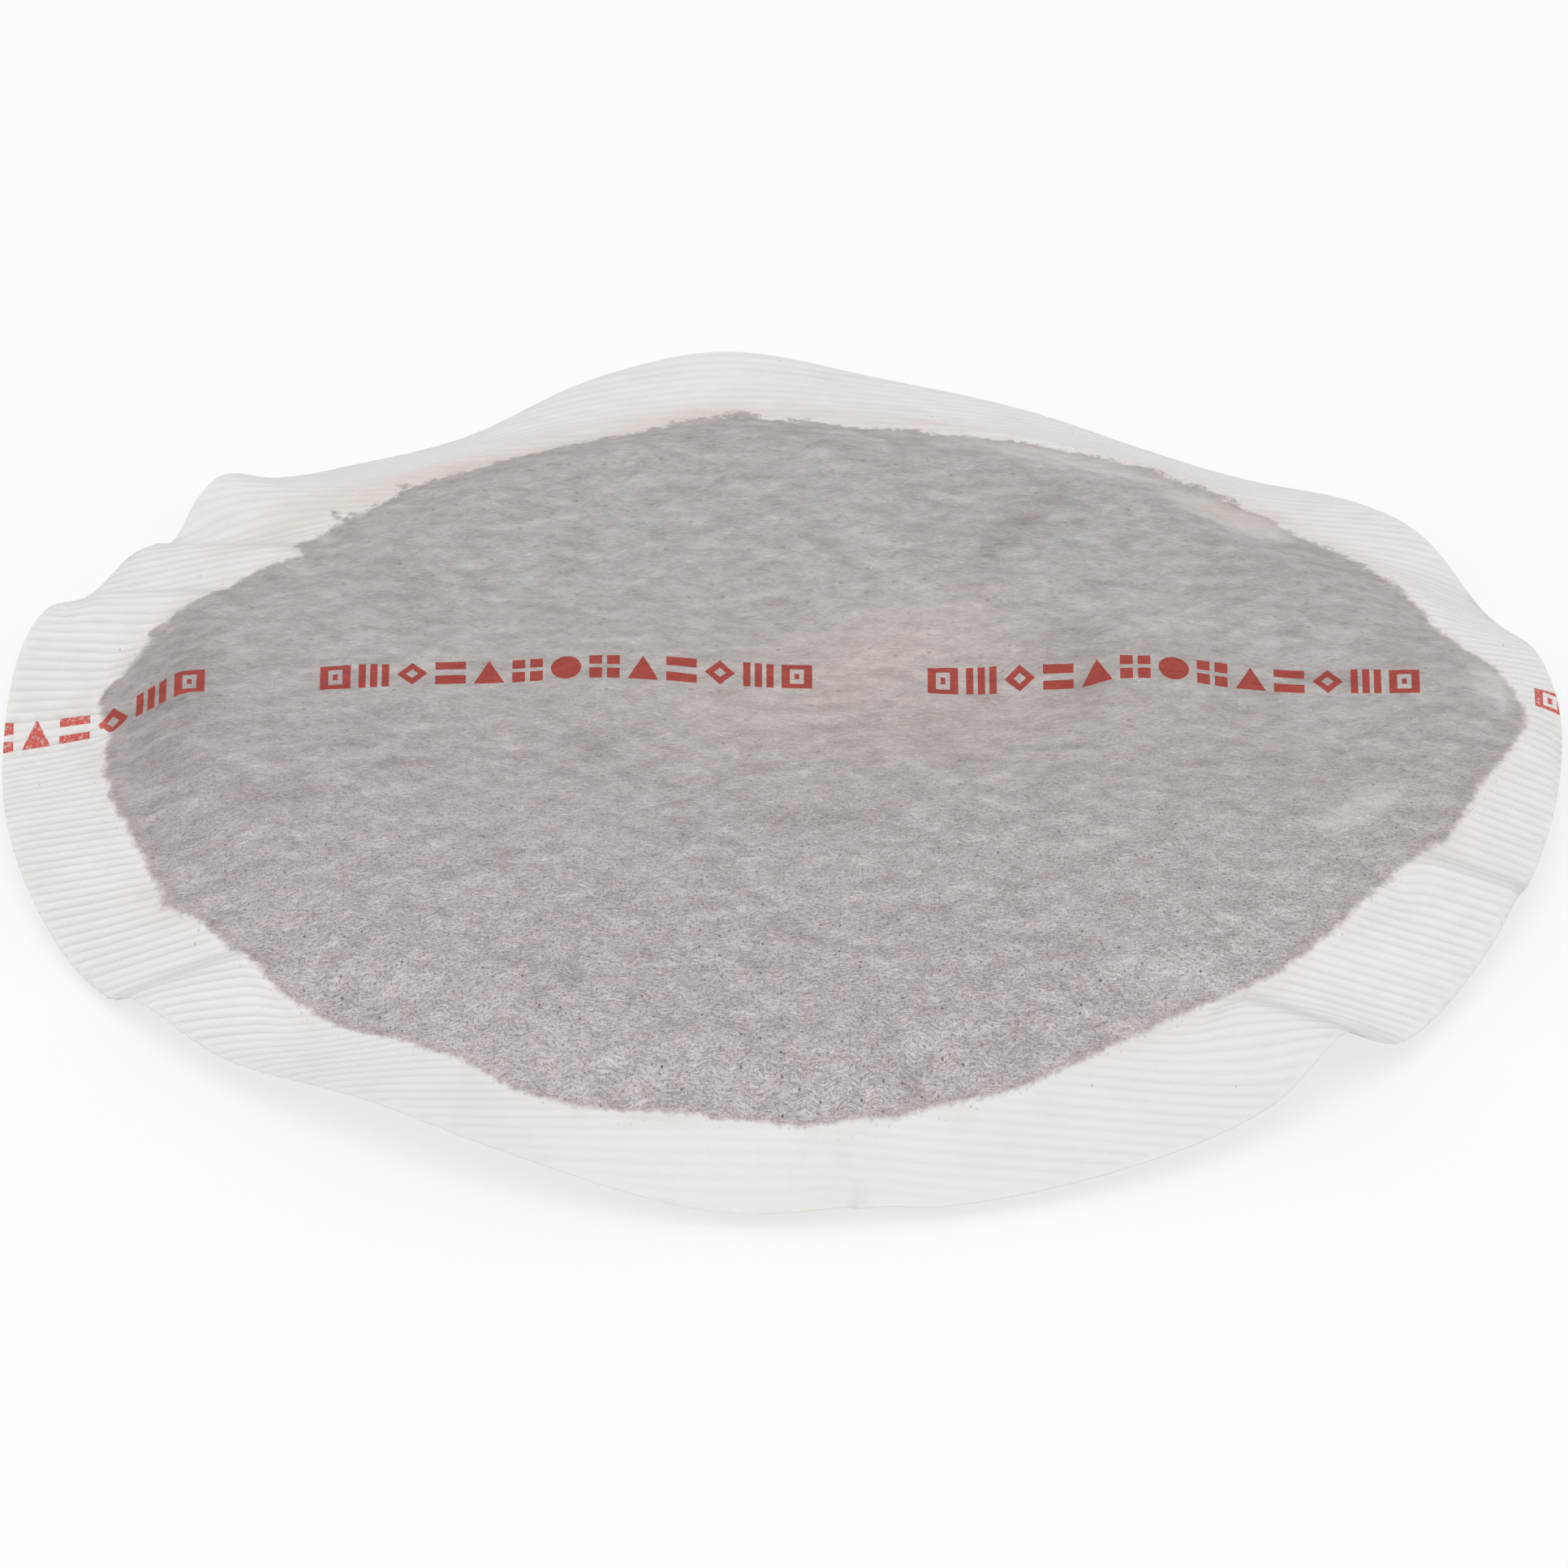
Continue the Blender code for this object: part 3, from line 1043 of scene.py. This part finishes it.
# Surface of the paper: roughness, shine, and its relief in millimetres with the web's part in
# it, how strong it looks, and the share of it that shows where there is no coffee
PAPER_ROUGHNESS = 0.9
PAPER_SHINE = 0.15
RELIEF = 0.05
WEB_RELIEF = 0.6
RELIEF_STRENGTH = 0.7
BARE_RELIEF = 0.25


def colour(screen):
    """Linear colour of an 8-bit screen colour."""
    shares = [value / 255 for value in screen]
    return [s / 12.92 if s <= 0.04045 else ((s + 0.055) / 1.055) ** 2.4 for s in shares] + [1.0]


def fibre_web(nodes):
    """Layers of curly fibres, drawn out along the ribs: 1 along a fibre, 0 in the gaps."""
    curl = nodes.curled(FIBRE_CURL_SIZE, FIBRE_CURL)
    stretch = (1 / FIBRE_LENGTH, 1 / FIBRE_THICKNESS, 1.0)
    web = None
    for number, degrees in enumerate(FIBRE_TURNS):
        shift = (FIBRE_SHIFT[0] * number, FIBRE_SHIFT[1] * number, 0.0)
        place = nodes.moved(degrees, stretch, shift, curl)
        middle = nodes.less(nodes.noise(size=1.0, place=place), 0.5)
        fibre = nodes.step(nodes.math("ABSOLUTE", middle), first=FIBRE_EDGE, last=0.0)
        web = fibre if web is None else nodes.math("MAXIMUM", web, fibre)
    return web


def coffee_cover(nodes):
    """How much coffee lies under the paper, and the distance inside its ragged edge."""
    depth = nodes.attribute("coffee_depth")
    wander = nodes.swing(nodes.noise(size=3.5, detail=1.0), 1.0)
    teeth = nodes.noise(size=0.8, detail=3.0, roughness=0.75, place=nodes.unlike("ragged"))
    ragged = nodes.plus(wander, nodes.swing(teeth, 1.2))
    inside = nodes.plus(depth, nodes.times(ragged, nodes.attribute("raggedness")))
    bed = nodes.step(inside, first=-0.35, last=0.55)
    missing = nodes.times(nodes.attribute("thin"), nodes.step(inside, first=-0.1, last=0.5))
    bed = nodes.times(bed, nodes.less(1.0, missing))
    stray = nodes.specks(size=0.5, radius=0.1, share=0.15)
    dust = nodes.times(stray, nodes.step(depth, first=-2.6, last=0.6, end=0.6))
    return nodes.math("MAXIMUM", bed, dust), inside


def white_paper(nodes, inside):
    """Colour of the bare paper: blotchy, with painted shade in the grooves, on the folds and
    along the front, and stained by coffee and its dust, which at the back is also painted shade.
    """
    blotch = nodes.step(nodes.noise(size=9.0, detail=2.0, roughness=0.6), first=0.35, last=0.7)
    white = nodes.mix(blotch, colour(PAPER), colour(PAPER_BLOTCH))
    # Painted shade in the crimp's grooves
    groove_shade_share = nodes.times(nodes.attribute("groove"), GROOVE_SHADE)
    white = nodes.mix(groove_shade_share, white, colour(PAPER_GROOVE_SHADE))
    # Painted shade on the folds' steep sides and along the front
    fold_and_front_shade = nodes.times(nodes.attribute("painted_paper_shade"), PAINTED_SHADE_STRENGTH)
    white = nodes.mix(fold_and_front_shade, white, colour(PAPER_PAINTED_SHADE))
    stains = nodes.noise(size=7.0, detail=2.0, roughness=0.6, place=nodes.unlike("stains"))
    near = nodes.step(inside, first=-3.0, last=0.0, end=EDGE_STAIN)
    stain_and_shade = nodes.times(nodes.step(stains, first=0.4, last=0.65), near)
    # Coffee dust, and at the back painted shade of the valley behind the coffee
    stain_and_shade = nodes.plus(stain_and_shade, nodes.attribute("dust_and_shade"))
    return nodes.mix(stain_and_shade, white, colour(PAPER_STAIN_AND_SHADE))


def coffee_clouds(nodes):
    """Soft wisps and blotches in the coffee's tone, in layers."""
    bent = nodes.curled(size=5.0, amount=2.0)
    stretch = (1 / CLOUD_LENGTH, 1 / CLOUD_WIDTH, 1.0)
    layers = []
    for degrees, shift in CLOUDS:
        place = nodes.moved(degrees, stretch, shift, bent)
        layer = nodes.noise(size=1.0, detail=4.0, roughness=0.8, place=place)
        layers.append(nodes.swing(layer, CLOUD_SWING))
    return nodes.plus(*layers)


def coffee_tone(nodes, web, gaps, fuzz):
    """How pale the coffee looks through the paper, from 0 to 1."""
    pits = nodes.times(nodes.step(gaps, first=0.42, last=0.27), -PIT_SHADE)
    pores = nodes.swing(gaps, GAP_SWING)
    fine = nodes.plus(nodes.swing(web, WEB_SWING), nodes.plus(pits, pores))
    tone = nodes.math("MULTIPLY_ADD", fine, fuzz, coffee_clouds(nodes))
    # The darker soft patches in this value are painted shade
    return nodes.plus(tone, nodes.plus(nodes.attribute("tone_and_shade"), COFFEE_TONE))


def coffee_colour(nodes, tone, inside, fuzz):
    """Colour of the coffee through the paper, with a pinker edge, grains and flecks."""
    greener = nodes.attribute("greener")
    tint = nodes.noise(size=1.8, detail=2.0, roughness=0.7, place=nodes.unlike("tint"))
    dark = nodes.mix(greener, colour(DARK_AT_FRONT), colour(DARK_AT_BACK))
    dark = nodes.mix(nodes.step(tint, first=0.45, last=0.72), dark, colour(DARK_TINTED))
    pale = nodes.mix(greener, colour(PALE_AT_FRONT), colour(PALE_AT_BACK))
    bed = nodes.mix(tone, dark, pale)
    bed = nodes.mix(nodes.attribute("warmer"), bed, colour(COFFEE_WARM))
    edge = nodes.step(inside, first=1.6, last=0.0, end=EDGE_SHADE)
    bed = nodes.mix(edge, bed, colour(COFFEE_EDGE))
    grains = nodes.specks(size=1.6, radius=0.13, share=0.2, place=nodes.unlike("grains"))
    grains = nodes.times(grains, nodes.times(fuzz, GRAIN_SHADE))
    bed = nodes.mix(grains, bed, colour(COFFEE_GRAIN))
    flecks = nodes.specks(size=2.4, radius=0.24, share=0.3, place=nodes.unlike("flecks"))
    return nodes.mix(nodes.times(flecks, FLECK_SHADE), bed, colour(COFFEE_FLECK))


def printed(nodes, base, cover):
    """The base with the ink on it, which is worn on the bare paper."""
    patchy = nodes.noise(size=0.35, detail=1.0, roughness=0.7)
    least, most = INK_MISSING
    missed = nodes.step(patchy, first=0.5, last=0.7, start=least, end=most)
    worn = nodes.times(missed, nodes.less(1.0, nodes.times(cover, INK_MENDED)))
    inked = nodes.mix(cover, colour(INK_ON_PAPER), colour(INK_ON_COFFEE))
    ink = nodes.times(nodes.attribute("ink"), nodes.less(INK_COVER, worn))
    return nodes.mix(ink, base, inked)


def paper_material():
    """White filter paper, grey-brown where the coffee shows through, red where it is printed."""
    nodes = Nodes("filter_paper")
    cover, inside = coffee_cover(nodes)
    web = fibre_web(nodes)
    fuzz = nodes.attribute("fuzz")
    gaps = nodes.noise(size=0.22, detail=2.0, roughness=0.7, place=nodes.unlike("gaps"))
    tone = coffee_tone(nodes, web, gaps, fuzz)
    bed = coffee_colour(nodes, tone, inside, fuzz)
    base = nodes.mix(cover, white_paper(nodes, inside), bed)
    dirt = nodes.specks(size=6.0, radius=0.1, share=0.3, place=nodes.unlike("dirt"))
    base = nodes.mix(nodes.times(dirt, DIRT_SHADE), base, colour(PAPER_DIRT))
    nodes.put(nodes.shader.inputs["Base Color"], printed(nodes, base, cover))
    nodes.shader.inputs["Roughness"].default_value = PAPER_ROUGHNESS
    nodes.shader.inputs["Specular IOR Level"].default_value = PAPER_SHINE
    relief = nodes.plus(nodes.times(web, WEB_RELIEF), gaps)
    shown = nodes.math("MULTIPLY_ADD", cover, 1 - BARE_RELIEF, BARE_RELIEF)
    bump = nodes.bump(nodes.times(relief, shown), RELIEF, RELIEF_STRENGTH)
    nodes.put(nodes.shader.inputs["Normal"], bump)
    return nodes.material


# Floor: its size and how far it lies under the pack in metres, its white and its roughness, and
# the share of its look to the camera that is plain white, whatever falls on it
FLOOR_SIZE = 6.0
FLOOR_DROP = 0.00005
FLOOR_WHITE = 0.9
FLOOR_ROUGHNESS = 0.9
FLOOR_GLOW = 0.75


def floor_material():
    """White floor that keeps a pale shadow, and reads as white to the camera."""
    material = bpy.data.materials.new("white_floor")
    material.use_nodes = True
    tree = material.node_tree
    shader = tree.nodes["Principled BSDF"]
    shader.inputs["Base Color"].default_value = (FLOOR_WHITE, FLOOR_WHITE, FLOOR_WHITE, 1.0)
    shader.inputs["Roughness"].default_value = FLOOR_ROUGHNESS
    shader.inputs["Specular IOR Level"].default_value = 0.0
    path = tree.nodes.new("ShaderNodeLightPath")
    seen = path.outputs["Is Camera Ray"]
    for name in ("Is Glossy Ray", "Is Transmission Ray"):
        either = tree.nodes.new("ShaderNodeMath")
        either.operation = "MAXIMUM"
        tree.links.new(seen, either.inputs[0])
        tree.links.new(path.outputs[name], either.inputs[1])
        seen = either.outputs[0]
    share = tree.nodes.new("ShaderNodeMath")
    share.operation = "MULTIPLY"
    share.inputs[1].default_value = FLOOR_GLOW
    tree.links.new(seen, share.inputs[0])
    glow = tree.nodes.new("ShaderNodeEmission")
    both = tree.nodes.new("ShaderNodeMixShader")
    tree.links.new(share.outputs[0], both.inputs[0])
    tree.links.new(shader.outputs[0], both.inputs[1])
    tree.links.new(glow.outputs[0], both.inputs[2])
    tree.links.new(both.outputs[0], tree.nodes["Material Output"].inputs["Surface"])
    return material


def add_floor():
    bpy.ops.mesh.primitive_plane_add(size=FLOOR_SIZE, location=(0, 0, -FLOOR_DROP))
    floor = bpy.context.object
    floor.name = "floor"
    floor.data.materials.append(floor_material())


# Camera: its sensor's width and its elevation and distance, then the photograph's size and that
# of a millimetre in it, in pixels, and the pixel where the point CAMERA_AIM above the table
# falls. CAMERA_CLIP is in metres.
SENSOR_WIDTH = 36.0
PHOTO_SIZE = 1932
CAMERA_ELEVATION = 32.0
CAMERA_DISTANCE = 2000.0
CAMERA_AIM = 4.5
PIXELS_PER_MM = 15.13
AIM_PIXEL = (963.0, 939.5)
CAMERA_CLIP = 20.0

# Lamp above and in front, in metres and watts, and the strength of the white room
KEY_PLACE = (-0.05, -0.75, 1.3)
KEY_SIZE = 1.0
KEY_POWER = 8.9
ROOM_STRENGTH = 0.72


def add_camera():
    camera = bpy.data.cameras.new("camera")
    camera.sensor_width = SENSOR_WIDTH
    camera.lens = SENSOR_WIDTH * PIXELS_PER_MM * CAMERA_DISTANCE / PHOTO_SIZE
    camera.shift_x = (PHOTO_SIZE / 2 - AIM_PIXEL[0]) / PHOTO_SIZE
    camera.shift_y = (AIM_PIXEL[1] - PHOTO_SIZE / 2) / PHOTO_SIZE
    camera.clip_end = CAMERA_CLIP
    holder = bpy.data.objects.new("camera", camera)
    tilt = math.radians(CAMERA_ELEVATION)
    back = Vector((0, -math.cos(tilt), math.sin(tilt)))
    holder.location = Vector((0, 0, CAMERA_AIM * MM)) + back * CAMERA_DISTANCE * MM
    holder.rotation_euler = (math.pi / 2 - tilt, 0, 0)
    bpy.context.scene.collection.objects.link(holder)
    bpy.context.scene.camera = holder


def add_lamp(name, place, size, power):
    lamp = bpy.data.lights.new(name, "AREA")
    lamp.shape = "SQUARE"
    lamp.size = size
    lamp.energy = power
    holder = bpy.data.objects.new(name, lamp)
    holder.location = place
    holder.rotation_euler = (-Vector(place)).to_track_quat("-Z", "Y").to_euler()
    bpy.context.scene.collection.objects.link(holder)


def add_light():
    """Soft light from above and in front, in an even white room."""
    add_lamp("key", KEY_PLACE, KEY_SIZE, KEY_POWER)
    world = bpy.data.worlds.new("studio")
    world.use_nodes = True
    background = world.node_tree.nodes["Background"]
    background.inputs["Color"].default_value = (1.0, 1.0, 1.0, 1.0)
    background.inputs["Strength"].default_value = ROOM_STRENGTH
    bpy.context.scene.world = world


def main():
    add_camera()
    pack = bpy.data.objects.new("paper_pack", pack_mesh())
    bpy.context.scene.collection.objects.link(pack)
    pack.data.materials.append(paper_material())
    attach(pack, "root")
    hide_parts("filter_pack")
    add_floor()
    add_light()
    bpy.context.scene.view_settings.view_transform = "Standard"


main()
